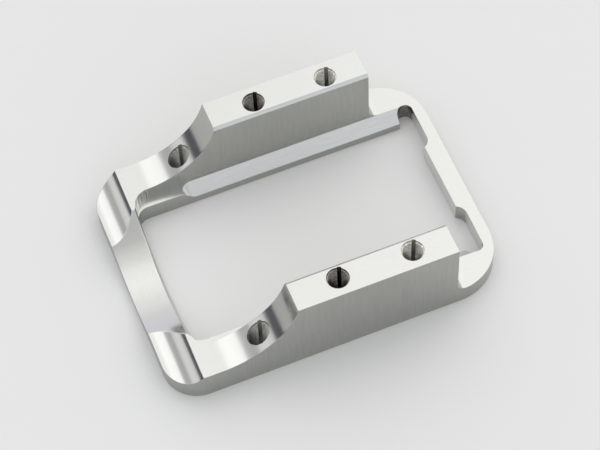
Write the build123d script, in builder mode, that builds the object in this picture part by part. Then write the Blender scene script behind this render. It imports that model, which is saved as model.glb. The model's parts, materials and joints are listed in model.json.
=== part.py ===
"""One-piece engine mount, machined from a single block of aluminium.

Millimetres, Z up. The origin is the centre of the underside. X runs along the two bearers,
from the low nose end (-X) to the flat tail end (+X), and Y runs across them.
"""
import os
from math import sqrt

from build123d import *

# Block
LENGTH = 64.2
WIDTH = 46.8
HEIGHT = 17.5
PLATE_THICKNESS = 3.9
NOSE_CORNER_RADIUS = 6.5
TAIL_CORNER_RADIUS = 9.5

# Bearers, the two raised sides that carry the engine's lugs
BEARER_WIDTH = 6.25
PAD_LENGTH = 30.1
PAD_CHAMFER = 0.55
TAIL_FLANGE = 10.4
FOOT_RADIUS = 1.9

# Cove, the hollow curve from each pad down to the low shoulder
COVE_RADIUS = 15.0
SHOULDER_HEIGHT = 6.25

# Nose, a smaller hollow curve that climbs from the nose end to the shoulder
NOSE_LENGTH = 5.65
NOSE_HEIGHT = 3.6
NOSE_RADIUS = 7.35

# Opening for the crankcase, with a ledge left inside the bearers at plate level
NOSE_BAR = 6.5
TAIL_BAR = 3.5
LEDGE_WIDTH = 2.2
WELL_CORNER_RADIUS = 3.2
WINDOW_CORNER_RADIUS = 2.2

# Bevel that takes the ledge away beside the crankcase, cut by a 45 degree cutter
BEVEL_FROM_NOSE = 18.0

# Corner reliefs beside the tail bar
RELIEF_DEPTH = 1.3
RELIEF_WIDTH = 2.85
RELIEF_OVERCUT = 0.1
RELIEF_CORNER_RADIUS = 1.35
RELIEF_INNER_RADIUS = 2.2
TAIL_TONGUE_WIDTH = 13.8

# Saddle, the round hollow in the nose bar under the flywheel
SADDLE_RADIUS = 22.0
SADDLE_FLOOR = 1.3
SADDLE_CHAMFER = 0.4

# Tapped holes, all drilled right through
BORE_RADIUS = 2.05
SCREW_EDGE_DISTANCE = 3.4
PAD_SCREW_PITCH = 14.0
PAD_SCREW_SETBACK = 7.4
CHASSIS_SCREW_SETBACK = 17.2

# Keyway, a narrow slot down the wall of each hole, turned from +Y
SLOT_WIDTH = 0.75
SLOT_REACH = 2.25
SLOT_ANGLE = -28.0

nose_x = -LENGTH / 2
tail_x = LENGTH / 2
bearer_tail_x = tail_x - TAIL_FLANGE
pad_nose_x = bearer_tail_x - PAD_LENGTH
ridge_x = nose_x + NOSE_LENGTH
cove_axis_z = SHOULDER_HEIGHT + COVE_RADIUS
cove_axis_x = pad_nose_x - sqrt(COVE_RADIUS**2 - (cove_axis_z - HEIGHT) ** 2)

well_half_width = WIDTH / 2 - BEARER_WIDTH
window_half_width = well_half_width - LEDGE_WIDTH
window_nose_x = nose_x + NOSE_BAR
window_tail_x = tail_x - TAIL_BAR
relief_tail_x = window_tail_x + RELIEF_DEPTH
relief_inner_y = TAIL_TONGUE_WIDTH / 2
relief_outer_y = well_half_width + RELIEF_OVERCUT
bevel_x = nose_x + BEVEL_FROM_NOSE
bevel_tip_z = PLATE_THICKNESS - LEDGE_WIDTH
saddle_axis_z = SADDLE_FLOOR + SADDLE_RADIUS

screw_y = WIDTH / 2 - SCREW_EDGE_DISTANCE
pad_screw_x = bearer_tail_x - PAD_SCREW_SETBACK - PAD_SCREW_PITCH / 2
chassis_screw_x = nose_x + CHASSIS_SCREW_SETBACK

with BuildPart() as engine_mount:
    # The bearers' side view, carried across the whole block
    with BuildSketch(Plane.XZ) as side_view:
        with BuildLine():
            Polyline(
                (nose_x, NOSE_HEIGHT),
                (nose_x, 0),
                (tail_x, 0),
                (tail_x, PLATE_THICKNESS),
                (bearer_tail_x, PLATE_THICKNESS),
                (bearer_tail_x, HEIGHT),
                (pad_nose_x, HEIGHT),
            )
            RadiusArc((pad_nose_x, HEIGHT), (cove_axis_x, SHOULDER_HEIGHT), COVE_RADIUS)
            Line((cove_axis_x, SHOULDER_HEIGHT), (ridge_x, SHOULDER_HEIGHT))
            RadiusArc((ridge_x, SHOULDER_HEIGHT), (nose_x, NOSE_HEIGHT), NOSE_RADIUS)
        make_face()
        foot = side_view.vertices().sort_by_distance((bearer_tail_x, PLATE_THICKNESS))[0]
        fillet(foot, radius=FOOT_RADIUS)
    extrude(amount=WIDTH / 2, both=True)

    # The rounded outline seen from above
    with BuildSketch() as outline:
        Rectangle(LENGTH, WIDTH)
        fillet(outline.vertices().group_by(Axis.X)[0], radius=NOSE_CORNER_RADIUS)
        fillet(outline.vertices().group_by(Axis.X)[-1], radius=TAIL_CORNER_RADIUS)
    extrude(amount=HEIGHT, mode=Mode.INTERSECT)

    # The well between the bearers, open at the tail
    with BuildSketch(Plane.XY.offset(PLATE_THICKNESS)) as well:
        with Locations((window_nose_x, 0)):
            Rectangle(
                tail_x - window_nose_x,
                2 * well_half_width,
                align=(Align.MIN, Align.CENTER),
            )
        fillet(well.vertices().group_by(Axis.X)[0], radius=WELL_CORNER_RADIUS)
    extrude(amount=HEIGHT - PLATE_THICKNESS, mode=Mode.SUBTRACT)

    # The window through the plate, with its two corner reliefs at the tail
    with BuildSketch() as window:
        with Locations((window_nose_x, 0)):
            Rectangle(
                window_tail_x - window_nose_x,
                2 * window_half_width,
                align=(Align.MIN, Align.CENTER),
            )
        fillet(window.vertices().group_by(Axis.X)[0], radius=WINDOW_CORNER_RADIUS)
        with BuildSketch(mode=Mode.PRIVATE) as relief:
            with Locations((relief_tail_x, relief_inner_y)):
                Rectangle(
                    RELIEF_WIDTH,
                    relief_outer_y - relief_inner_y,
                    align=(Align.MAX, Align.MIN),
                )
            fillet(relief.vertices().group_by(Axis.Y)[-1], radius=RELIEF_CORNER_RADIUS)
            inner_corner = relief.vertices().sort_by_distance((relief_tail_x, relief_inner_y))[0]
            fillet(inner_corner, radius=RELIEF_INNER_RADIUS)
        add(relief.sketch)
        add(mirror(relief.sketch, about=Plane.XZ, mode=Mode.PRIVATE))
    extrude(amount=PLATE_THICKNESS, mode=Mode.SUBTRACT)

    # The bevel on each ledge: a straight run to the tail, with the cutter's cone at its start
    with BuildSketch(Plane.YZ.offset(bevel_x)) as bevel:
        for side in (-1, 1):
            with BuildLine():
                Polyline(
                    (side * window_half_width, bevel_tip_z),
                    (side * well_half_width, PLATE_THICKNESS),
                    (side * window_half_width, PLATE_THICKNESS),
                    close=True,
                )
            make_face()
    extrude(amount=window_tail_x - bevel_x, mode=Mode.SUBTRACT)
    with Locations(
        (bevel_x, -window_half_width, bevel_tip_z),
        (bevel_x, window_half_width, bevel_tip_z),
    ):
        Cone(
            bottom_radius=0,
            top_radius=LEDGE_WIDTH,
            height=LEDGE_WIDTH,
            align=(Align.CENTER, Align.CENTER, Align.MIN),
            mode=Mode.SUBTRACT,
        )

    # The saddle in the nose bar, and the cone that breaks its edge towards the window
    with BuildSketch(Plane.YZ.offset(nose_x)) as saddle:
        with Locations((0, saddle_axis_z)):
            Circle(SADDLE_RADIUS)
    extrude(amount=NOSE_BAR + WELL_CORNER_RADIUS, mode=Mode.SUBTRACT)
    with Locations(Plane.YZ.offset(window_nose_x - SADDLE_CHAMFER)):
        with Locations((0, saddle_axis_z)):
            Cone(
                bottom_radius=SADDLE_RADIUS,
                top_radius=SADDLE_RADIUS + 2 * SADDLE_CHAMFER,
                height=2 * SADDLE_CHAMFER,
                align=(Align.CENTER, Align.CENTER, Align.MIN),
                mode=Mode.SUBTRACT,
            )

    # The broken inner edge of each pad
    top_edges = engine_mount.edges().group_by(Axis.Z)[-1].filter_by(Axis.X)
    chamfer(top_edges.sort_by(lambda edge: abs(edge.center().Y))[:2], length=PAD_CHAMFER)

    # The four engine screws in the pads and the two front chassis screws in the coves
    with BuildSketch() as screw_holes:
        with Locations((pad_screw_x, 0)):
            with GridLocations(PAD_SCREW_PITCH, 2 * screw_y, 2, 2):
                Circle(BORE_RADIUS)
                Rectangle(SLOT_WIDTH, SLOT_REACH, SLOT_ANGLE, align=(Align.CENTER, Align.MIN))
        with Locations((chassis_screw_x, 0)):
            with GridLocations(0, 2 * screw_y, 1, 2):
                Circle(BORE_RADIUS)
                Rectangle(SLOT_WIDTH, SLOT_REACH, SLOT_ANGLE, align=(Align.CENTER, Align.MIN))
    extrude(amount=HEIGHT, mode=Mode.SUBTRACT)

engine_mount.part.label = "engine_mount"

os.makedirs("parts", exist_ok=True)
export_step(engine_mount.part, "parts/engine_mount.step")
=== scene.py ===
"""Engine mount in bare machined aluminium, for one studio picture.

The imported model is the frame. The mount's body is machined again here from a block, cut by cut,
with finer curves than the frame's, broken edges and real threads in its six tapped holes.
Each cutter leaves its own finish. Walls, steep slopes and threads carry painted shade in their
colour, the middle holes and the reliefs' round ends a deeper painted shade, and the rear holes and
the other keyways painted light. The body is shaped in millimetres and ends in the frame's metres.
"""
import json
import logging
import math
from collections.abc import Callable, Iterator
from contextlib import contextmanager
from dataclasses import dataclass, field
from enum import Enum
from itertools import pairwise

import bmesh
import bpy
from mathutils import Matrix, Vector

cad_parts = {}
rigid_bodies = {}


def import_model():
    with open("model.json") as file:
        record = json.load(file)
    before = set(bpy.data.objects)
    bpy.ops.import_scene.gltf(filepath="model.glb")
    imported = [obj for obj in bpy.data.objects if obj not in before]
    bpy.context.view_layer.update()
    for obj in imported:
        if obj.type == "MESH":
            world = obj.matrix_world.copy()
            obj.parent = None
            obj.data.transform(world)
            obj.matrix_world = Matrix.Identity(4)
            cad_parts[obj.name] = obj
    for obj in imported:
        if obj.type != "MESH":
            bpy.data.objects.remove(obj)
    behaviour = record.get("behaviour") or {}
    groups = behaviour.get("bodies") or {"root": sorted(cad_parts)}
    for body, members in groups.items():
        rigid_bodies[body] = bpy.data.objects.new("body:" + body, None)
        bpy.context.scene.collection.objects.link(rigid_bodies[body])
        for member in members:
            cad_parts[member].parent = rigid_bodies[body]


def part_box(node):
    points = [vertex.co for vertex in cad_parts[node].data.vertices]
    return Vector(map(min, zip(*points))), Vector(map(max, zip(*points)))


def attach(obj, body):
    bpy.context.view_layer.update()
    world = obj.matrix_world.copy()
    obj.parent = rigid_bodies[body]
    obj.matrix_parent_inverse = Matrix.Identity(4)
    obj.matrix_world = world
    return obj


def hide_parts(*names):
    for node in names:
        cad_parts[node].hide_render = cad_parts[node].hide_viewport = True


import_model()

log = logging.getLogger("engine_mount")

BODY_NODE = "engine_mount"
MM = 0.001
PAST = 1.0  # how far a cutter runs past the face that it opens, mm
CURVE_STEP_DEG = 0.75  # finest facets of the hollow curves
CORNER_STEP_DEG = 3.0  # facets of the rounded corners, and the coarsest of the curves
FACET_LENGTH = 0.2  # what the curves' facets are about as long as, mm
SMOOTH_BELOW_DEG = 30.0  # faces that meet at less than this are shaded smooth
BREAK_ABOVE_DEG = 20.0  # outer edges that turn by more than this are broken
FACES_NOSE = -0.99  # a wall whose normal has less than this along X faces the nose
ON_CURVE = 0.9  # least part of a face's normal that lies along its curve's radius
THREAD_DEPTH = 0.54  # depth of a 60 degree thread, in pitches
MOTTLE_SCALE = 180.0  # slow changes of tone per metre
NOISE_SPAN = (0.35, 0.65)  # where nearly all values of a noise texture lie
STEEP_FADE_DEG = (46.0, 54.0)  # tilts at which a surface starts to be steep and is fully so, for its roughness and its painted shade

Point = tuple[float, float, float]
Colour = tuple[float, float, float]


class Cut(Enum):
    """The kinds of cut on the mount, and two tones that paint shade or light on some holes and
    corners. Each value is the name of the finish.
    """

    FACE = "face_milled_aluminium"
    WALL = "side_milled_aluminium"
    HOLLOW = "form_milled_aluminium"
    CHAMFER = "chamfered_aluminium"
    THREAD = "tapped_aluminium"
    KEYWAY = "broached_aluminium"
    END = "end_milled_aluminium"
    CHATTER = "chattered_aluminium"
    # painted shade: a darker tone for the middle holes and the reliefs' round ends
    STAINED = "deep_shade_aluminium"
    # painted light: a lighter thread for the rear holes
    BRIGHT = "painted_light_thread"

    @property
    def slot(self) -> int:
        """The finish's material slot on the body."""
        return list(Cut).index(self)


@dataclass(frozen=True)
class Metal:
    """Bare aluminium, bright, or darker where its colour is painted shade.

    Attributes:
        colour: Reflected colour, linear.
        roughness: Mean roughness.
    """

    colour: Colour
    roughness: float


@dataclass(frozen=True)
class MachinedFinish:
    """Bare aluminium as one kind of cutter leaves it.

    Attributes:
        cut: The kind of cut, which names the finish.
        metal: The metal where the surface is level or nearly so.
        mark_scale: Tool marks per metre along each axis; a long mark has a small number.
        streak: How far the colour changes from one tool mark to the next.
        mark_height: Height of the tool marks, in metres.
        mottle: How far the colour wanders from place to place.
        roughness_spread: How far the roughness wanders over the surface.
        shaded_metal: The metal where the surface is steep, whose darker colour is painted shade on the
            steep slopes. None where it is the same.
    """

    cut: Cut
    metal: Metal
    mark_scale: Point
    streak: float
    mark_height: float = 3e-7
    mottle: float = 0.05
    roughness_spread: float = 0.03
    # painted shade: the darker colour of steep slopes
    shaded_metal: Metal | None = None

    @property
    def steep_metal(self) -> Metal:
        """The metal where the surface is steep, whose colour carries the painted shade."""
        return self.shaded_metal or self.metal

    def material(self) -> bpy.types.Material:
        """Builds the finish's material.

        Returns:
            The material, named after the cut.
        """
        material = bpy.data.materials.new(self.cut.value)
        material.use_nodes = True
        nodes, links = material.node_tree.nodes, material.node_tree.links
        shader = nodes["Principled BSDF"]
        shader.inputs["Metallic"].default_value = 1.0

        place = nodes.new("ShaderNodeTexCoord")
        marks = nodes.new("ShaderNodeGroup")
        marks.node_tree = tool_marks()
        marks.inputs["Marks"].default_value = self.mark_scale
        marks.inputs["Height"].default_value = self.mark_height
        links.new(place.outputs["Object"], marks.inputs["Place"])
        links.new(marks.outputs["Normal"], shader.inputs["Normal"])

        spread = nodes.new("ShaderNodeMix")
        spread.data_type, spread.blend_type = "RGBA", "MULTIPLY"
        spread.inputs["Factor"].default_value = 1.0
        # The colour darkens on steep slopes: painted shade.
        links.new(self.shade_by_slope(material, marks.outputs["Steep"]), spread.inputs["A"])
        links.new(self.mottled(material, marks), spread.inputs["B"])
        links.new(spread.outputs["Result"], shader.inputs["Base Color"])

        gloss = nodes.new("ShaderNodeMapRange")
        gloss.inputs["To Min"].default_value = self.metal.roughness
        gloss.inputs["To Max"].default_value = self.steep_metal.roughness
        links.new(marks.outputs["Steep"], gloss.inputs["Value"])
        wander = nodes.new("ShaderNodeMapRange")
        wander.inputs["To Min"].default_value = -self.roughness_spread
        wander.inputs["To Max"].default_value = self.roughness_spread
        links.new(marks.outputs["Mottle"], wander.inputs["Value"])
        total = nodes.new("ShaderNodeMath")
        links.new(gloss.outputs["Result"], total.inputs[0])
        links.new(wander.outputs["Result"], total.inputs[1])
        links.new(total.outputs["Value"], shader.inputs["Roughness"])
        return material

    def shade_by_slope(
        self, material: bpy.types.Material, steep: bpy.types.NodeSocket
    ) -> bpy.types.NodeSocket:
        """Goes from the metal's colour to the darker one where the surface is steep: painted shade.

        Args:
            material: The material that gets the node.
            steep: How steep the surface is, from 0 to 1.

        Returns:
            The colour.
        """
        tone = material.node_tree.nodes.new("ShaderNodeMix")
        tone.data_type = "RGBA"
        tone.inputs["A"].default_value = (*self.metal.colour, 1)
        tone.inputs["B"].default_value = (*self.steep_metal.colour, 1)
        material.node_tree.links.new(steep, tone.inputs["Factor"])
        return tone.outputs["Result"]

    def mottled(
        self, material: bpy.types.Material, marks: bpy.types.ShaderNodeGroup
    ) -> bpy.types.NodeSocket:
        """Turns the slow pattern and the tool marks into a factor near 1.

        Args:
            material: The material that gets the nodes.
            marks: The group that gives the patterns.

        Returns:
            The factor.
        """
        nodes, links = material.node_tree.nodes, material.node_tree.links
        slow = nodes.new("ShaderNodeMapRange")
        slow.inputs["To Min"].default_value = 1 - self.mottle
        fine = nodes.new("ShaderNodeMapRange")
        fine.inputs["From Min"].default_value, fine.inputs["From Max"].default_value = NOISE_SPAN
        fine.inputs["To Min"].default_value = 1 - self.streak
        fine.inputs["To Max"].default_value = 1 + self.streak
        factor = nodes.new("ShaderNodeMath")
        factor.operation = "MULTIPLY"
        links.new(marks.outputs["Mottle"], slow.inputs["Value"])
        links.new(marks.outputs["Lines"], fine.inputs["Value"])
        links.new(slow.outputs["Result"], factor.inputs[0])
        links.new(fine.outputs["Result"], factor.inputs[1])
        return factor.outputs["Value"]


def tool_marks() -> bpy.types.ShaderNodeTree:
    """Builds the shader group for cutter marks and slow changes of tone, once.

    Returns:
        The group. Its inputs are Place, Marks and Height, and its outputs are Normal, Lines,
        Mottle and Steep, the mask that places the steep faces' roughness and painted shade.
    """
    made = bpy.data.node_groups.get("tool_marks")
    if made:
        return made
    group = bpy.data.node_groups.new("tool_marks", "ShaderNodeTree")
    for name, kind in (
        ("Place", "NodeSocketVector"),
        ("Marks", "NodeSocketVector"),
        ("Height", "NodeSocketFloat"),
    ):
        group.interface.new_socket(name, in_out="INPUT", socket_type=kind)
    for name, kind in (
        ("Normal", "NodeSocketVector"),
        ("Lines", "NodeSocketFloat"),
        ("Mottle", "NodeSocketFloat"),
        ("Steep", "NodeSocketFloat"),
    ):
        group.interface.new_socket(name, in_out="OUTPUT", socket_type=kind)
    nodes, links = group.nodes, group.links
    given = nodes.new("NodeGroupInput")
    result = nodes.new("NodeGroupOutput")

    stretch = nodes.new("ShaderNodeVectorMath")
    stretch.operation = "MULTIPLY"
    lines = nodes.new("ShaderNodeTexNoise")
    lines.inputs["Scale"].default_value = 1.0
    lines.inputs["Detail"].default_value = 3.0
    bump = nodes.new("ShaderNodeBump")
    bump.inputs["Strength"].default_value = 1.0
    links.new(given.outputs["Place"], stretch.inputs[0])
    links.new(given.outputs["Marks"], stretch.inputs[1])
    links.new(stretch.outputs["Vector"], lines.inputs["Vector"])
    links.new(lines.outputs["Fac"], bump.inputs["Height"])
    links.new(given.outputs["Height"], bump.inputs["Distance"])
    links.new(bump.outputs["Normal"], result.inputs["Normal"])
    links.new(lines.outputs["Fac"], result.inputs["Lines"])

    mottle = nodes.new("ShaderNodeTexNoise")
    mottle.inputs["Scale"].default_value = MOTTLE_SCALE
    mottle.inputs["Detail"].default_value = 4.0
    links.new(given.outputs["Place"], mottle.inputs["Vector"])
    links.new(mottle.outputs["Fac"], result.inputs["Mottle"])

    surface = nodes.new("ShaderNodeNewGeometry")
    facing = nodes.new("ShaderNodeSeparateXYZ")
    steep = nodes.new("ShaderNodeMapRange")
    steep.interpolation_type = "SMOOTHSTEP"
    for end, tilt in zip(("From Min", "From Max"), STEEP_FADE_DEG):
        steep.inputs[end].default_value = math.cos(math.radians(tilt))
    links.new(surface.outputs["Normal"], facing.inputs["Vector"])
    links.new(facing.outputs["Z"], steep.inputs["Value"])
    links.new(steep.outputs["Result"], result.inputs["Steep"])
    return group


CLEAN = (0.77, 0.77, 0.755)
# Painted shade: walls and steep slopes take this darker colour in place of the darker light that they
# reflect
SHADE_TONE = (0.455, 0.46, 0.435)
THREAD_MARKS = (2500, 2500, 2500)
WALL_MARKS = (4000, 4000, 200)
FINISHES = (
    MachinedFinish(
        Cut.FACE,
        Metal(CLEAN, 0.22),
        mark_scale=(900, 9000, 900),
        streak=0.015,
        mark_height=2e-7,
        mottle=0.03,
        # painted shade where the faced surface is steep
        shaded_metal=Metal(SHADE_TONE, 0.36),
    ),
    # painted shade: the darker colour of all walls
    MachinedFinish(Cut.WALL, Metal(SHADE_TONE, 0.25), mark_scale=WALL_MARKS, streak=0.045),
    MachinedFinish(
        Cut.HOLLOW,
        Metal(CLEAN, 0.16),
        mark_scale=(5000, 250, 5000),
        streak=0.015,
        mark_height=1.5e-7,
        mottle=0.03,
        roughness_spread=0.02,
        # painted shade on the steep slopes of the hollows
        shaded_metal=Metal(SHADE_TONE, 0.16),
    ),
    MachinedFinish(
        Cut.CHAMFER,
        Metal(CLEAN, 0.24),
        mark_scale=(300, 5000, 5000),
        streak=0.03,
        mark_height=2e-7,
        mottle=0.03,
        roughness_spread=0.02,
    ),
    MachinedFinish(
        Cut.THREAD,
        # Painted shade: the thread's darker colour darkens the holes
        Metal((0.52, 0.52, 0.48), 0.30),
        mark_scale=THREAD_MARKS,
        streak=0.2,
        mottle=0.08,
        roughness_spread=0.04,
    ),
    MachinedFinish(
        Cut.KEYWAY,
        # Painted light: a colour paler than the clean metal's lightens the narrow slot, which lies in
        # shade
        Metal((0.86, 0.86, 0.82), 0.55),
        mark_scale=(6000, 6000, 300),
        streak=0.0,
        roughness_spread=0.05,
    ),
    MachinedFinish(Cut.END, Metal(CLEAN, 0.25), mark_scale=WALL_MARKS, streak=0.03),
    MachinedFinish(
        Cut.CHATTER,
        Metal((0.60, 0.60, 0.56), 0.20),
        mark_scale=(2600, 2600, 90),
        streak=0.6,
        mark_height=3e-5,
    ),
    MachinedFinish(
        Cut.STAINED,
        # Painted shade, deeper than the thread's
        Metal((0.30, 0.285, 0.26), 0.26),
        mark_scale=THREAD_MARKS,
        streak=0.3,
        mottle=0.08,
        roughness_spread=0.04,
    ),
    MachinedFinish(
        Cut.BRIGHT,
        # Painted light: a thread colour near the clean metal's, lighter than the other holes'
        Metal((0.74, 0.73, 0.68), 0.28),
        mark_scale=THREAD_MARKS,
        streak=0.3,
        mottle=0.08,
        roughness_spread=0.04,
    ),
)


@contextmanager
def editing(obj: bpy.types.Object, kind: str) -> Iterator[bmesh.types.BMesh]:
    """Opens one object in edit mode with nothing selected.

    Args:
        obj: The object to shape.
        kind: What the operators act on, VERT, EDGE or FACE.

    Yields:
        The open mesh, for choosing its elements by place.
    """
    bpy.ops.object.select_all(action="DESELECT")
    obj.select_set(True)
    bpy.context.view_layer.objects.active = obj
    bpy.ops.object.mode_set(mode="EDIT")
    bpy.ops.mesh.select_mode(type=kind)
    bpy.ops.mesh.select_all(action="DESELECT")
    yield bmesh.from_edit_mesh(obj.data)
    bpy.ops.object.mode_set(mode="OBJECT")


class Solid:
    """A closed mesh in millimetres, shaped with Blender's own operators."""

    def __init__(self, cut: Cut) -> None:
        """Takes over the primitive that was just added.

        Args:
            cut: The kind of cut that this solid leaves where it is used as a cutter.
        """
        self.obj = bpy.context.object
        bpy.ops.object.transform_apply(location=True, rotation=True, scale=True)
        for kind in Cut:
            self.obj.data.materials.append(bpy.data.materials[kind.value])
        for face in self.obj.data.polygons:
            face.material_index = cut.slot

    @classmethod
    def box(cls, low: Point, high: Point, cut: Cut = Cut.WALL) -> "Solid":
        """Makes a box between two corners.

        Args:
            low: Lowest corner.
            high: Highest corner.
            cut: The kind of cut that it leaves.

        Returns:
            The box.
        """
        bpy.ops.object.select_all(action="DESELECT")
        middle, size = (Vector(low) + Vector(high)) / 2, Vector(high) - Vector(low)
        bpy.ops.mesh.primitive_cube_add(size=1, location=middle, scale=size)
        return cls(cut)

    @classmethod
    def bar(cls, centre: Point, size: Point, turn: Point, cut: Cut) -> "Solid":
        """Makes a box that is turned about its centre.

        Args:
            centre: Centre of the bar.
            size: Length along each of its own axes.
            turn: Euler angles in degrees.
            cut: The kind of cut that it leaves.

        Returns:
            The bar.
        """
        bpy.ops.object.select_all(action="DESELECT")
        angles = [math.radians(a) for a in turn]
        bpy.ops.mesh.primitive_cube_add(size=1, location=centre, rotation=angles, scale=size)
        return cls(cut)

    @classmethod
    def turned(
        cls,
        rings: tuple[tuple[float, float], ...],
        place: Point,
        axis: Point,
        cut: Cut = Cut.HOLLOW,
    ) -> "Solid":
        """Makes a solid of revolution, as on a lathe.

        Args:
            rings: Radius of each ring and its distance along the axis. Only the last radius may
                be 0, and the solid then ends in a point.
            place: Where the axis starts.
            axis: Direction of the axis.
            cut: The kind of cut that it leaves.

        Returns:
            The solid.
        """
        bpy.ops.object.select_all(action="DESELECT")
        widest = max(radius for radius, _ in rings)
        step = max(CURVE_STEP_DEG, min(CORNER_STEP_DEG, math.degrees(FACET_LENGTH / widest)))
        bpy.ops.mesh.primitive_circle_add(
            vertices=4 * round(90 / step), radius=rings[0][0], fill_type="NGON"
        )
        blank = bpy.context.object
        with editing(blank, "FACE"):
            bpy.ops.mesh.select_all(action="SELECT")
            bpy.ops.transform.translate(value=(0, 0, rings[0][1]))
            for (radius, height), (next_radius, next_height) in pairwise(rings):
                rise = (0, 0, next_height - height)
                bpy.ops.mesh.extrude_region_move(TRANSFORM_OT_translate={"value": rise})
                if next_radius == 0:
                    bpy.ops.mesh.merge(type="CENTER")
                elif next_radius != radius:
                    grow = next_radius / radius
                    bpy.ops.transform.resize(
                        value=(grow, grow, 1), center_override=(0, 0, next_height)
                    )
            bpy.ops.mesh.select_all(action="SELECT")
            bpy.ops.mesh.normals_make_consistent(inside=False)
        blank.rotation_euler = Vector(axis).to_track_quat("Z", "Y").to_euler()
        blank.location = place
        return cls(cut)

    @classmethod
    def swept(
        cls, corners: tuple[tuple[float, float], ...], start: float, end: float, cut: Cut
    ) -> "Solid":
        """Makes a straight bar along X from its section.

        Args:
            corners: Y and Z of the section's four corners, in order.
            start: X where the bar starts.
            end: X where it ends.
            cut: The kind of cut that it leaves.

        Returns:
            The bar.
        """
        bpy.ops.object.select_all(action="DESELECT")
        bpy.ops.mesh.primitive_plane_add(size=1)
        with editing(bpy.context.object, "FACE") as mesh:
            mesh.faces.ensure_lookup_table()
            for loop, (y, z) in zip(mesh.faces[0].loops, corners):
                loop.vert.co = (start, y, z)
            bmesh.update_edit_mesh(bpy.context.object.data)
            bpy.ops.mesh.select_all(action="SELECT")
            bpy.ops.mesh.extrude_region_move(TRANSFORM_OT_translate={"value": (end - start, 0, 0)})
            bpy.ops.mesh.select_all(action="SELECT")
            bpy.ops.mesh.normals_make_consistent(inside=False)
        return cls(cut)

    def round_edges(self, chosen: Callable[[Vector, Vector], bool], radius: float) -> None:
        """Rounds some edges with one radius.

        Args:
            chosen: Says from an edge's two ends whether it is rounded.
            radius: The radius.
        """
        with editing(self.obj, "EDGE") as mesh:
            for edge in mesh.edges:
                edge.select_set(chosen(edge.verts[0].co, edge.verts[1].co))
            bmesh.update_edit_mesh(self.obj.data)
            bpy.ops.mesh.bevel(
                offset=radius,
                segments=round(90 / CORNER_STEP_DEG),
                profile=0.5,
                affect="EDGES",
                clamp_overlap=False,
            )

    def round_uprights(self, chosen: Callable[[Vector], bool], radius: float) -> None:
        """Rounds some upright edges with one radius.

        Args:
            chosen: Says from a point on an upright edge whether it is rounded.
            radius: The radius.
        """
        self.round_edges(lambda a, b: a.xy == b.xy and chosen(a), radius)

    def cut_away(self, cutter: "Solid") -> None:
        """Cuts another solid out of this one and clears the cutter away.

        Args:
            cutter: The solid to cut with.
        """
        bpy.ops.object.select_all(action="DESELECT")
        self.obj.select_set(True)
        bpy.context.view_layer.objects.active = self.obj
        bpy.ops.object.modifier_add(type="BOOLEAN")
        modifier = self.obj.modifiers[-1]
        modifier.operation = "DIFFERENCE"
        modifier.solver = "EXACT"
        modifier.object = cutter.obj
        bpy.ops.object.modifier_apply(modifier=modifier.name)
        bpy.data.meshes.remove(cutter.obj.data)

    def repeat_at(self, places: list[tuple[float, float]]) -> "Solid":
        """Copies the solid from the Z axis to each place, as one mesh.

        Args:
            places: X and Y of each place.

        Returns:
            The same solid, with all its copies.
        """
        copies = []
        for x, y in places:
            bpy.ops.object.select_all(action="DESELECT")
            self.obj.select_set(True)
            bpy.context.view_layer.objects.active = self.obj
            bpy.ops.object.duplicate()
            bpy.ops.transform.translate(value=(x, y, 0))
            bpy.ops.object.transform_apply(location=True, rotation=True, scale=True)
            copies.append(bpy.context.object)
        bpy.data.meshes.remove(self.obj.data)
        bpy.ops.object.select_all(action="DESELECT")
        for copy in copies:
            copy.select_set(True)
        bpy.ops.object.join()
        self.obj = bpy.context.object
        return self

    def tidy(self, merge: float) -> None:
        """Merges vertices that cuts left closer than a distance.

        Args:
            merge: The distance.
        """
        with editing(self.obj, "VERT"):
            bpy.ops.mesh.select_all(action="SELECT")
            bpy.ops.mesh.remove_doubles(threshold=merge)
            bpy.ops.mesh.dissolve_degenerate(threshold=merge / 2)


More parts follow.
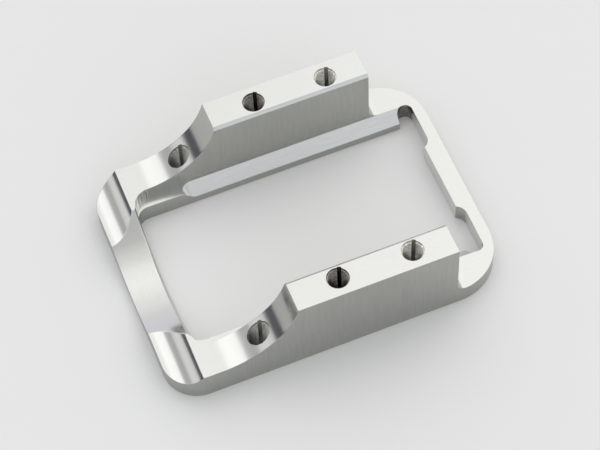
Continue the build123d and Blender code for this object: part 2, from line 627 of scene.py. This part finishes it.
@dataclass
class TappedHole:
    """A through hole with a fine thread and a narrow keyway down its wall.

    Attributes:
        major_radius: Radius at the root of the thread.
        pitch: Rise of the thread in one turn.
        start_depth: Depth at which the thread starts, below the face.
        key_width: Width of the keyway.
        key_reach: Distance from the hole's axis to the keyway's floor.
        key_turn_deg: Direction of the keyway, from +Y.
        steps: Facets round the thread.
    """

    major_radius: float = 2.05
    pitch: float = 0.5
    start_depth: float = 0.35
    key_width: float = 0.75
    key_reach: float = 2.25
    key_turn_deg: float = -28.0
    steps: int = 48

    @property
    def minor_radius(self) -> float:
        """Radius at the thread's crest."""
        return self.major_radius - THREAD_DEPTH * self.pitch

    def tap(self, height: float) -> Solid:
        """Makes the tap: a threaded rod as the thread's hollow form.

        Args:
            height: Height of the body that the tap passes through, from z = 0.

        Returns:
            The rod, on the Z axis.
        """
        turns = math.ceil((height + 2 * PAST) / self.pitch)
        # A flat crest over a quarter of the turn, and the root in the middle of the rest
        profile = (
            (self.minor_radius, 0.0),
            (self.minor_radius, self.pitch / 4),
            (self.major_radius, self.pitch * 5 / 8),
            (self.minor_radius, self.pitch),
        )
        bpy.ops.object.select_all(action="DESELECT")
        bpy.ops.mesh.primitive_plane_add(size=1)
        rod = bpy.context.object
        with editing(rod, "EDGE") as mesh:
            mesh.faces.ensure_lookup_table()
            ring = [loop.vert for loop in mesh.faces[0].loops]
            closing = mesh.edges.get((ring[-1], ring[0]))
            for corner, (radius, rise) in zip(ring, profile):
                corner.co = (radius, 0, rise - PAST)
            closing.select_set(True)
            bmesh.update_edit_mesh(rod.data)
            bpy.ops.mesh.delete(type="EDGE")
        bpy.ops.object.modifier_add(type="SCREW")
        screw = rod.modifiers[-1]
        screw.axis = "Z"
        screw.angle = math.tau
        screw.screw_offset = self.pitch
        screw.iterations = turns
        screw.steps = screw.render_steps = self.steps
        bpy.ops.object.modifier_apply(modifier=screw.name)
        with editing(rod, "VERT"):
            bpy.ops.mesh.select_all(action="SELECT")
            bpy.ops.mesh.remove_doubles(threshold=self.pitch / 100)
        middle = height / 2
        for lower in (True, False):
            with editing(rod, "EDGE") as mesh:
                for edge in mesh.edges:
                    below = edge.verts[0].co.z < middle
                    edge.select_set(edge.is_boundary and below == lower)
                bmesh.update_edit_mesh(rod.data)
                bpy.ops.mesh.extrude_edges_move()
                bpy.ops.mesh.merge(type="CENTER")
        with editing(rod, "FACE"):
            bpy.ops.mesh.select_all(action="SELECT")
            bpy.ops.mesh.normals_make_consistent(inside=False)
        return Solid(Cut.THREAD)

    def keyway(self, height: float) -> Solid:
        """Makes the keyway's cutter beside the Z axis.

        Args:
            height: Height of the body that the keyway passes through, from z = 0.

        Returns:
            The cutter.
        """
        centre = Vector((0, self.key_reach / 2, height / 2))
        centre.rotate(Matrix.Rotation(math.radians(self.key_turn_deg), 3, "Z"))
        size = (self.key_width, self.key_reach, height + 2 * PAST)
        return Solid.bar(tuple(centre), size, (0, 0, self.key_turn_deg), Cut.KEYWAY)


@dataclass
class MountBody:
    """The mount's body, machined from one block. Sizes are in millimetres.

    The length, width and height come from the frame, and the rest repeats the real part's sizes.
    X runs from the low nose to the flat tail, along the two raised bearers.

    Attributes:
        length: Length over all.
        width: Width over both bearers.
        height: Height of the pads.
        plate: Thickness of the plate under the bearers.
        nose_corner: Radius of the outline's corners at the nose.
        tail_corner: Radius of the outline's corners at the tail.
        bearer_width: Width of each bearer.
        pad_length: Length of the level pad on each bearer.
        pad_chamfer: Size of the chamfer along each pad's inner edge.
        tail_flange: Length of the flat flange behind the bearers.
        foot_radius: Radius where the bearers rise from that flange.
        cove_radius: Radius of the hollow curve from each pad down to the shoulder.
        shoulder: Height of the level shoulder in front of the cove.
        nose_length: Length of the smaller hollow curve, from the nose end to the shoulder.
        nose_height: Height at which that curve starts at the nose end.
        nose_radius: Radius of that curve.
        nose_bar: Width of the bar between the nose end and the window.
        tail_bar: Width of the bar between the window and the tail end.
        ledge: Width of the ledge that the window leaves beside each bearer.
        well_corner: Radius of the well's corners, above the plate.
        window_corner: Radius of the window's corners, through the plate.
        bevel_from_nose: Distance from the nose end to where the ledge's bevel starts.
        relief_depth: How far the corner reliefs reach into the tail bar.
        relief_width: Width of each relief, along X.
        relief_overcut: How far the reliefs reach past the line of the bearers' inner walls.
        relief_corner: Radius of the reliefs' outer ends.
        relief_inner: Radius of the reliefs' inner ends, beside the tongue.
        tongue: Width of the tongue between the two reliefs.
        saddle_radius: Radius of the round hollow in the nose bar.
        saddle_floor: Height of its lowest line.
        saddle_chamfer: Size of its broken edge towards the window.
        screw_edge: Distance from the screw holes' axes to the side.
        pad_pitch: Distance between the two holes in a pad.
        pad_setback: Distance from the rear hole's axis to the bearer's tail end.
        chassis_setback: Distance from the front hole's axis to the nose end.
        edge_break: Size of the broken outer edges.
        nose_lean_deg: Turn of the nose's slopes, as the light sees them. The room's light stands
            near the real mount, so the nose reflects it from a little further left.
        merge: Distance under which two places are the same.
        hole: The form of the six tapped holes.
        body: The body while it is machined.
    """

    length: float
    width: float
    height: float
    plate: float = 3.9
    nose_corner: float = 6.5
    tail_corner: float = 9.5
    bearer_width: float = 6.25
    pad_length: float = 30.1
    pad_chamfer: float = 0.55
    tail_flange: float = 10.4
    foot_radius: float = 1.9
    cove_radius: float = 15.0
    shoulder: float = 6.25
    nose_length: float = 5.65
    nose_height: float = 3.6
    nose_radius: float = 7.35
    nose_bar: float = 6.5
    tail_bar: float = 3.5
    ledge: float = 2.2
    well_corner: float = 3.2
    window_corner: float = 2.2
    bevel_from_nose: float = 18.0
    relief_depth: float = 1.3
    relief_width: float = 2.85
    relief_overcut: float = 0.1
    relief_corner: float = 1.35
    relief_inner: float = 2.2
    tongue: float = 13.8
    saddle_radius: float = 22.0
    saddle_floor: float = 1.3
    saddle_chamfer: float = 0.4
    screw_edge: float = 3.4
    pad_pitch: float = 14.0
    pad_setback: float = 7.4
    chassis_setback: float = 17.2
    edge_break: float = 0.08
    nose_lean_deg: float = 2.3
    merge: float = 0.004
    hole: TappedHole = field(default_factory=TappedHole)
    body: Solid = field(init=False)

    def __post_init__(self) -> None:
        """Works out the places that several cuts share."""
        self.nose = -self.length / 2
        self.tail = self.length / 2
        self.side = self.width / 2
        self.over = self.height + PAST
        self.bearer_tail = self.tail - self.tail_flange
        self.pad_nose = self.bearer_tail - self.pad_length
        self.well_side = self.side - self.bearer_width
        self.window_side = self.well_side - self.ledge
        self.window_nose = self.nose + self.nose_bar
        self.window_tail = self.tail - self.tail_bar
        self.cove_z = self.shoulder + self.cove_radius
        self.cove_x = self.pad_nose - math.sqrt(
            self.cove_radius**2 - (self.cove_z - self.height) ** 2
        )
        rear = self.bearer_tail - self.pad_setback
        self.hole_xs = (self.nose + self.chassis_setback, rear - self.pad_pitch, rear)
        self.hole_y = self.side - self.screw_edge
        drop = self.shoulder - self.nose_height
        chord = math.hypot(self.nose_length, drop)
        rise = math.sqrt(self.nose_radius**2 - chord**2 / 4)
        self.nose_axis_x = self.nose + self.nose_length / 2 - rise * drop / chord
        self.nose_axis_z = (self.shoulder + self.nose_height) / 2 + rise * self.nose_length / chord
        self.saddle_z = self.saddle_floor + self.saddle_radius

    def machine(self) -> Solid:
        """Cuts the whole body out of its block.

        Returns:
            The finished body, in metres.
        """
        self.cut_block()
        self.cut_side_view()
        self.cut_well_and_window()
        self.cut_reliefs()
        self.cut_ledge_bevel()
        self.cut_saddle()
        self.cut_pad_chamfers()
        self.start_holes()
        self.break_edges()
        self.tap_holes()
        self.sort_finishes()
        self.to_frame()
        self.true_curves()
        return self.body

    def cut_block(self) -> None:
        """Cuts the block to size and rounds its four corners."""
        self.body = Solid.box((self.nose, -self.side, 0), (self.tail, self.side, self.height))
        self.body.round_uprights(lambda at: at.x < self.nose + self.merge, self.nose_corner)
        self.body.round_uprights(lambda at: at.x > self.tail - self.merge, self.tail_corner)

    def cut_side_view(self) -> None:
        """Cuts the nose's hollow curve, the shoulder, the coves and the tail flange."""
        out = self.side + PAST
        self.body.cut_away(
            Solid.turned(
                ((self.nose_radius, -out), (self.nose_radius, out)),
                (self.nose_axis_x, 0, self.nose_axis_z),
                (0, 1, 0),
            )
        )

        low = (self.nose - PAST, -out, self.shoulder)
        self.body.cut_away(Solid.box(low, (self.cove_x, out, self.over), Cut.FACE))
        self.body.cut_away(
            Solid.turned(
                ((self.cove_radius, -out), (self.cove_radius, out)),
                (self.cove_x, 0, self.cove_z),
                (0, 1, 0),
            )
        )

        flange = Solid.box((self.bearer_tail, -out, self.plate), (self.tail + PAST, out, self.over))
        flange.round_edges(
            lambda a, b: max(a.x, b.x) < self.bearer_tail + self.merge
            and max(a.z, b.z) < self.plate + self.merge,
            self.foot_radius,
        )
        self.body.cut_away(flange)

    def cut_well_and_window(self) -> None:
        """Cuts the well between the bearers and the window through the plate."""
        for half, floor, end, corner in (
            (self.well_side, self.plate, self.tail + PAST, self.well_corner),
            (self.window_side, -PAST, self.window_tail, self.window_corner),
        ):
            cutter = Solid.box((self.window_nose, -half, floor), (end, half, self.over))
            cutter.round_uprights(lambda at: at.x < self.window_nose + self.merge, corner)
            self.body.cut_away(cutter)

    def cut_reliefs(self) -> None:
        """Cuts the two corner reliefs beside the tail bar."""
        tail = self.window_tail + self.relief_depth
        inner, outer = self.tongue / 2, self.well_side + self.relief_overcut
        for side in (-1, 1):
            low = (tail - self.relief_width, min(side * inner, side * outer), -PAST)
            high = (tail, max(side * inner, side * outer), self.plate + PAST)
            cutter = Solid.box(low, high)
            cutter.round_uprights(lambda at: abs(at.y) > outer - self.merge, self.relief_corner)
            cutter.round_uprights(
                lambda at: abs(at.y) < inner + self.merge and at.x > tail - self.merge,
                self.relief_inner,
            )
            self.body.cut_away(cutter)

    def cut_ledge_bevel(self) -> None:
        """Cuts the 45 degree bevel on each ledge, with the cutter's cone at its start."""
        start = self.nose + self.bevel_from_nose
        tip = self.plate - self.ledge
        clear = self.ledge / 2
        for side in (-1, 1):
            section = (
                (side * (self.window_side - clear), tip - clear),
                (side * self.well_side, self.plate),
                (side * (self.well_side - clear), self.plate + clear),
                (side * (self.window_side - clear), self.plate + clear),
            )
            self.body.cut_away(Solid.swept(section, start, self.window_tail + clear / 4, Cut.CHAMFER))
            rings = ((self.ledge - clear, self.ledge + clear), (self.ledge, self.ledge), (0, 0))
            place = (start, side * self.window_side, tip)
            self.body.cut_away(Solid.turned(rings, place, (0, 0, 1), Cut.CHAMFER))

    def cut_saddle(self) -> None:
        """Cuts the saddle in the nose bar, with a cone that breaks its edge to the window."""
        wide = self.saddle_radius + 2 * self.saddle_chamfer
        rings = (
            (self.saddle_radius, -PAST),
            (self.saddle_radius, self.nose_bar - self.saddle_chamfer),
            (wide, self.nose_bar + self.saddle_chamfer),
            (self.saddle_radius, self.nose_bar + 2 * self.saddle_chamfer),
            (self.saddle_radius, self.nose_bar + self.well_corner),
        )
        self.body.cut_away(Solid.turned(rings, (self.nose, 0, self.saddle_z), (1, 0, 0)))

    def cut_pad_chamfers(self) -> None:
        """Cuts the chamfer along the inner edge of each pad, with a square bar on its corner."""
        half = PAST
        offset = (half - self.pad_chamfer / math.sqrt(2)) / math.sqrt(2)
        length = self.pad_length + 2 * PAST
        middle = self.pad_nose + self.pad_length / 2
        for side in (-1, 1):
            centre = (middle, side * (self.well_side - offset), self.height + offset)
            size = (length, 2 * half, 2 * half)
            self.body.cut_away(Solid.bar(centre, size, (45, 0, 0), Cut.CHAMFER))

    def start_holes(self) -> None:
        """Bores the plain start of each hole, which follows the face that it opens in."""
        along = self.hole_xs[0] - self.cove_x
        rise = math.sqrt(self.cove_radius**2 - along**2)
        faces = ((self.cove_z - rise, along / rise), (self.height, 0.0), (self.height, 0.0))
        radius = self.hole.major_radius
        for x, (level, slope) in zip(self.hole_xs, faces):
            bottom = (0, 0, level - self.hole.start_depth)
            bore = Solid.turned(((radius, 0), (radius, self.over)), bottom, (0, 0, 1), Cut.THREAD)
            with editing(bore.obj, "VERT") as mesh:
                for corner in mesh.verts:
                    if corner.co.z < self.over - self.merge:
                        corner.co.z += slope * corner.co.x
                bmesh.update_edit_mesh(bore.obj.data)
            self.body.cut_away(bore.repeat_at([(x, self.hole_y), (x, -self.hole_y)]))

    def stays_sharp(self, ends: list[Vector]) -> bool:
        """Tells whether an outer edge can't be broken.

        The ledge runs out to nothing in the window's corners and where the bevel's cone comes up
        to the wall, and the rims of the holes in the coves run along the curve.

        Args:
            ends: The edge's two ends.

        Returns:
            Whether it stays sharp.
        """
        corner_end = self.window_nose + self.window_corner + self.merge
        wall = self.well_side - 2 * self.edge_break
        if all(abs(end.z - self.plate) < self.merge for end in ends):
            return all(end.x < corner_end for end in ends) or any(abs(end.y) > wall for end in ends)
        reach = self.hole.major_radius + self.merge
        return all(
            math.hypot(end.x - self.hole_xs[0], abs(end.y) - self.hole_y) < reach for end in ends
        )

    def break_edges(self) -> None:
        """Breaks the sharp outer edges a little, as a deburred part has them."""
        self.body.tidy(self.merge)
        with editing(self.body.obj, "EDGE") as mesh:
            for edge in mesh.edges:
                if edge.is_manifold and edge.is_convex:
                    sharp = edge.calc_face_angle() > math.radians(BREAK_ABOVE_DEG)
                    ends = [vertex.co for vertex in edge.verts]
                    edge.select_set(sharp and not self.stays_sharp(ends))
            bmesh.update_edit_mesh(self.body.obj.data)
            bpy.ops.mesh.bevel(
                offset=self.edge_break,
                segments=2,
                profile=0.5,
                affect="EDGES",
                clamp_overlap=False,
                loop_slide=False,
            )
        # A broken corner can end a hair outside the block
        for vertex in self.body.obj.data.vertices:
            vertex.co.y = max(-self.side, min(self.side, vertex.co.y))
            vertex.co.z = max(0.0, min(self.height, vertex.co.z))

    def tap_holes(self) -> None:
        """Taps the four engine screw holes and the two front chassis screw holes."""
        places = [(x, side * self.hole_y) for x in self.hole_xs for side in (-1, 1)]
        for cutter in (self.hole.tap(self.height), self.hole.keyway(self.height)):
            self.body.cut_away(cutter.repeat_at(places))
        log.info("tapped %d holes, crest radius %.2f mm", len(places), self.hole.minor_radius)

    def sort_finishes(self) -> None:
        """Gives level faces, walls, corners and each pair of holes their own finish.

        The middle holes and the reliefs' round ends get a deeper painted shade, and the rear holes
        painted light.
        """
        corner_x = self.window_nose + self.well_corner + self.merge
        corner_y = self.well_side - self.well_corner - self.merge
        relief_x = self.window_tail + self.relief_depth + self.merge
        relief_y = self.well_side + self.relief_overcut + self.merge
        for face in self.body.obj.data.polygons:
            if face.material_index in (Cut.FACE.slot, Cut.WALL.slot):
                kind = Cut.WALL
                x, y, z = face.center
                in_well = self.window_nose - self.merge < x < corner_x and self.plate < z
                if abs(face.normal.z) > math.cos(math.radians(SMOOTH_BELOW_DEG)):
                    kind = Cut.FACE
                elif in_well and corner_y < abs(y) < self.well_side + self.merge:
                    kind = Cut.CHATTER
                # painted shade in the reliefs' round ends
                elif relief_x - self.relief_width < x < relief_x and (
                    relief_y - self.relief_corner < abs(y) < relief_y
                ):
                    kind = Cut.STAINED
                elif x > 0 and face.normal.x < FACES_NOSE:
                    kind = Cut.END
                face.material_index = kind.slot
            elif face.material_index in (Cut.THREAD.slot, Cut.KEYWAY.slot):
                # painted shade in the middle holes, painted light in the rear ones
                front, middle, rear = (abs(face.center.x - at) for at in self.hole_xs)
                if middle < min(front, rear):
                    face.material_index = Cut.STAINED.slot
                elif face.material_index == Cut.THREAD.slot and rear < front:
                    face.material_index = Cut.BRIGHT.slot

    def to_frame(self) -> None:
        """Brings the body from millimetres to the frame's metres and smooths its curves."""
        bpy.ops.object.select_all(action="DESELECT")
        self.body.obj.select_set(True)
        bpy.context.view_layer.objects.active = self.body.obj
        self.body.obj.scale = (MM, MM, MM)
        bpy.ops.object.transform_apply(location=True, rotation=True, scale=True)
        bpy.ops.object.shade_smooth_by_angle(angle=math.radians(SMOOTH_BELOW_DEG))
        bpy.ops.object.modifier_add(type="WEIGHTED_NORMAL")
        weighted = self.body.obj.modifiers[-1]
        weighted.keep_sharp = True
        bpy.ops.object.modifier_apply(modifier=weighted.name)

    def true_curves(self) -> None:
        """Gives the hollow curves' faces the exact slopes of their cutters, with the nose's lean."""
        nose_axis = Vector((self.nose_axis_x, 0, self.nose_axis_z))
        curves = (
            (nose_axis, Vector((1, 0, 1)), self.nose_radius, self.nose_lean_deg),
            (Vector((self.cove_x, 0, self.cove_z)), Vector((1, 0, 1)), self.cove_radius, 0.0),
            (Vector((0, 0, self.saddle_z)), Vector((0, 1, 1)), self.saddle_radius, 0.0),
        )
        mesh = self.body.obj.data
        slopes = [corner.vector.copy() for corner in mesh.corner_normals]
        for face in mesh.polygons:
            for axis, across, radius, lean in curves:
                spokes = [(axis - mesh.vertices[v].co / MM) * across for v in face.vertices]
                if all(
                    abs(spoke.length - radius) < self.merge and face.normal @ spoke > ON_CURVE * radius
                    for spoke in spokes
                ):
                    turn = Matrix.Rotation(math.radians(lean), 3, "Y")
                    for corner, spoke in zip(face.loop_indices, spokes):
                        slopes[corner] = turn @ spoke.normalized()
        mesh.normals_split_custom_set(slopes)


@dataclass(frozen=True)
class RoomLight:
    """The soft light that the room sends from each direction.

    A direction's X and Y each have a ramp of colours, and the two are multiplied. Along the
    horizon the room is darker.

    Attributes:
        by_x: Stops of direction X, from the left (-1) to the right (1), and light there.
        by_y: Stops of direction Y, from the front (-1) to the back (1), and tint there.
        low_light: Light along the horizon on the left, where a dark screen stands.
        low_edge: Direction Z at the lower and the upper edge of the screen's fade.
        screen_edge: Direction X at which the screen ends and is full.
    """

    by_x: tuple[tuple[float, Colour], ...] = (
        (-1.00, (0.61, 0.61, 0.61)),
        (-0.82, (0.76, 0.76, 0.76)),
        (-0.77, (0.84, 0.84, 0.84)),
        (-0.69, (0.78, 0.78, 0.78)),
        (-0.62, (0.46, 0.46, 0.46)),
        (-0.53, (0.50, 0.50, 0.50)),
        (-0.46, (0.55, 0.55, 0.55)),
        (-0.39, (1.23, 1.23, 1.23)),
        (-0.08, (1.29, 1.29, 1.26)),
        (0.03, (1.06, 1.06, 1.04)),
        (0.14, (1.04, 1.04, 1.02)),
        (0.28, (1.18, 1.18, 1.15)),
        (1.00, (1.07, 1.07, 1.05)),
    )
    by_y: tuple[tuple[float, Colour], ...] = (
        (-1.00, (0.62, 0.62, 0.66)),
        (-0.85, (0.69, 0.71, 0.75)),
        (-0.60, (0.54, 0.55, 0.57)),
        (-0.35, (0.58, 0.58, 0.59)),
        (-0.10, (0.78, 0.78, 0.78)),
        (0.15, (1.00, 1.00, 1.00)),
        (0.38, (1.05, 1.05, 1.05)),
        (0.52, (0.99, 0.99, 0.99)),
        (0.70, (0.90, 0.90, 0.91)),
        (0.90, (0.75, 0.75, 0.80)),
        (1.00, (0.73, 0.73, 0.80)),
    )
    low_light: Colour = (0.08, 0.08, 0.10)
    low_edge: tuple[float, float] = (0.17, 0.27)
    screen_edge: tuple[float, float] = (-0.5, -0.7)

    def ramp(
        self,
        world: bpy.types.World,
        part: bpy.types.NodeSocket,
        stops: tuple[tuple[float, Colour], ...],
    ) -> bpy.types.NodeSocket:
        """Turns one part of the direction into a colour.

        Args:
            world: The world that gets the nodes.
            part: The direction's X or Y.
            stops: Places from -1 to 1, and the colour at each.

        Returns:
            The colour.
        """
        nodes, links = world.node_tree.nodes, world.node_tree.links
        shift = nodes.new("ShaderNodeMapRange")
        shift.inputs["From Min"].default_value = -1.0
        ramp = nodes.new("ShaderNodeValToRGB")
        ramp.color_ramp.interpolation = "EASE"
        while len(ramp.color_ramp.elements) < len(stops):
            ramp.color_ramp.elements.new(0.5)
        for element, (place, colour) in zip(ramp.color_ramp.elements, stops):
            element.position = (place + 1) / 2
            element.color = (*colour, 1)
        links.new(part, shift.inputs["Value"])
        links.new(shift.outputs["Result"], ramp.inputs["Fac"])
        return ramp.outputs["Color"]

    def fade(
        self,
        world: bpy.types.World,
        part: bpy.types.NodeSocket,
        edge: tuple[float, float],
    ) -> bpy.types.NodeSocket:
        """Fades from 0 to 1 between two places along one part of the direction.

        Args:
            world: The world that gets the node.
            part: The direction's X or Z.
            edge: Where the fade starts and where it is full.

        Returns:
            The fade.
        """
        fade = world.node_tree.nodes.new("ShaderNodeMapRange")
        fade.interpolation_type = "SMOOTHSTEP"
        fade.inputs["From Min"].default_value, fade.inputs["From Max"].default_value = edge
        world.node_tree.links.new(part, fade.inputs["Value"])
        return fade.outputs["Result"]

    def build(self) -> None:
        """Builds the world and gives it to the scene."""
        world = bpy.data.worlds.new("room")
        bpy.context.scene.world = world
        world.use_nodes = True
        nodes, links = world.node_tree.nodes, world.node_tree.links
        place = nodes.new("ShaderNodeTexCoord")
        direction = nodes.new("ShaderNodeSeparateXYZ")
        links.new(place.outputs["Generated"], direction.inputs["Vector"])

        light = nodes.new("ShaderNodeMix")
        light.data_type, light.blend_type = "RGBA", "MULTIPLY"
        light.inputs["Factor"].default_value = 1.0
        links.new(self.ramp(world, direction.outputs["X"], self.by_x), light.inputs["A"])
        links.new(self.ramp(world, direction.outputs["Y"], self.by_y), light.inputs["B"])

        open_air = nodes.new("ShaderNodeMath")
        open_air.operation = "MAXIMUM"
        screen = self.fade(world, direction.outputs["X"], self.screen_edge[::-1])
        links.new(self.fade(world, direction.outputs["Z"], self.low_edge), open_air.inputs[0])
        links.new(screen, open_air.inputs[1])
        room = nodes.new("ShaderNodeMix")
        room.data_type = "RGBA"
        room.inputs["A"].default_value = (*self.low_light, 1)
        links.new(open_air.outputs["Value"], room.inputs["Factor"])
        links.new(light.outputs["Result"], room.inputs["B"])
        links.new(room.outputs["Result"], nodes["Background"].inputs["Color"])


@dataclass
class Studio:
    """The pale floor, the soft room light and the camera at the photograph's angle.

    The table that the mount stands on is small: past its edge the metal reflects the room. To the
    camera the floor goes on.

    Attributes:
        floor_size: Side of the floor that the camera sees, in metres, as all lengths here.
        table_size: Side of the part of it that the metal reflects.
        floor_gap: Gap that keeps the floor from flickering through the underside.
        floor_colour: Colour of the floor's paper.
        room: The light.
        focal_length: Focal length of the camera, in millimetres.
        azimuth_deg: Direction of the camera from the mount, from the front towards +X.
        elevation_deg: Height of the camera over the horizon.
        roll_deg: Roll of the camera.
        target: Point that the camera looks at.
        distance: Distance from the camera to that point.
    """

    floor_size: float = 4.0
    table_size: float = 0.44
    floor_gap: float = 0.00002
    floor_colour: Colour = (0.97, 0.97, 0.97)
    room: RoomLight = RoomLight()
    focal_length: float = 131.48
    azimuth_deg: float = -18.817
    elevation_deg: float = 58.359
    roll_deg: float = -3.680
    target: Point = (0.000037, -0.00242, 0.00875)
    distance: float = 0.39261

    def lay_floor(self) -> None:
        """Lays the pale floor under the mount."""
        bpy.ops.object.select_all(action="DESELECT")
        bpy.ops.mesh.primitive_plane_add(size=self.floor_size, location=(0, 0, -self.floor_gap))
        floor = bpy.context.object
        floor.name = "floor"
        floor.data.materials.append(self.floor_material())

    def floor_material(self) -> bpy.types.Material:
        """Builds the floor's paper, which only the camera sees past the table's edge.

        Returns:
            The material.
        """
        material = bpy.data.materials.new("pale_floor")
        material.use_nodes = True
        nodes, links = material.node_tree.nodes, material.node_tree.links
        paper = nodes["Principled BSDF"]
        paper.inputs["Base Color"].default_value = (*self.floor_colour, 1)
        paper.inputs["Roughness"].default_value = 0.9
        paper.inputs["Specular IOR Level"].default_value = 0.0

        place = nodes.new("ShaderNodeTexCoord")
        size = nodes.new("ShaderNodeVectorMath")
        size.operation = "ABSOLUTE"
        part = nodes.new("ShaderNodeSeparateXYZ")
        further = nodes.new("ShaderNodeMath")
        further.operation = "MAXIMUM"
        table = nodes.new("ShaderNodeMath")
        table.operation = "LESS_THAN"
        table.inputs[1].default_value = self.table_size / 2
        ray = nodes.new("ShaderNodeLightPath")
        seen = nodes.new("ShaderNodeMath")
        seen.operation = "MAXIMUM"
        links.new(place.outputs["Object"], size.inputs[0])
        links.new(size.outputs["Vector"], part.inputs["Vector"])
        links.new(part.outputs["X"], further.inputs[0])
        links.new(part.outputs["Y"], further.inputs[1])
        links.new(further.outputs["Value"], table.inputs[0])
        links.new(table.outputs["Value"], seen.inputs[0])
        links.new(ray.outputs["Is Camera Ray"], seen.inputs[1])

        clear = nodes.new("ShaderNodeBsdfTransparent")
        choice = nodes.new("ShaderNodeMixShader")
        links.new(seen.outputs["Value"], choice.inputs["Fac"])
        links.new(clear.outputs["BSDF"], choice.inputs[1])
        links.new(paper.outputs["BSDF"], choice.inputs[2])
        links.new(choice.outputs["Shader"], nodes["Material Output"].inputs["Surface"])
        return material

    def set_camera(self) -> None:
        """Sets the camera where the photograph was taken from."""
        azimuth, elevation, roll = (
            math.radians(a) for a in (self.azimuth_deg, self.elevation_deg, self.roll_deg)
        )
        back = Vector(
            (
                math.sin(azimuth) * math.cos(elevation),
                -math.cos(azimuth) * math.cos(elevation),
                math.sin(elevation),
            )
        )
        level = Vector((math.cos(azimuth), math.sin(azimuth), 0))
        right = Matrix.Rotation(roll, 3, back) @ level
        up = back.cross(right)
        place = Vector(self.target) + self.distance * back
        data = bpy.data.cameras.new("camera")
        data.lens = self.focal_length
        data.sensor_width = 36.0
        camera = bpy.data.objects.new("camera", data)
        turn = Matrix((right, up, back)).transposed().to_4x4()
        camera.matrix_world = Matrix.Translation(place) @ turn
        bpy.context.scene.collection.objects.link(camera)
        bpy.context.scene.camera = camera


def main() -> None:
    """Builds the finishes, the body and the studio, in this order."""
    logging.basicConfig(level=logging.INFO, format="%(name)s: %(message)s")
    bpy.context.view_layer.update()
    bpy.context.scene.view_settings.view_transform = "Standard"
    for finish in FINISHES:
        finish.material()
        log.info("finish %s", finish.cut.value)

    low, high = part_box(BODY_NODE)
    length, width, height = ((b - a) / MM for a, b in zip(low, high))
    body = MountBody(round(length, 4), round(width, 4), round(height, 4)).machine()
    body.obj.name = "mount_body"
    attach(body.obj, "root")
    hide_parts(BODY_NODE)
    log.info("mount_body: %d faces", len(body.obj.data.polygons))

    studio = Studio()
    studio.lay_floor()
    studio.room.build()
    studio.set_camera()
    log.info("studio: floor, room light and camera")


if __name__ == "__main__":
    main()
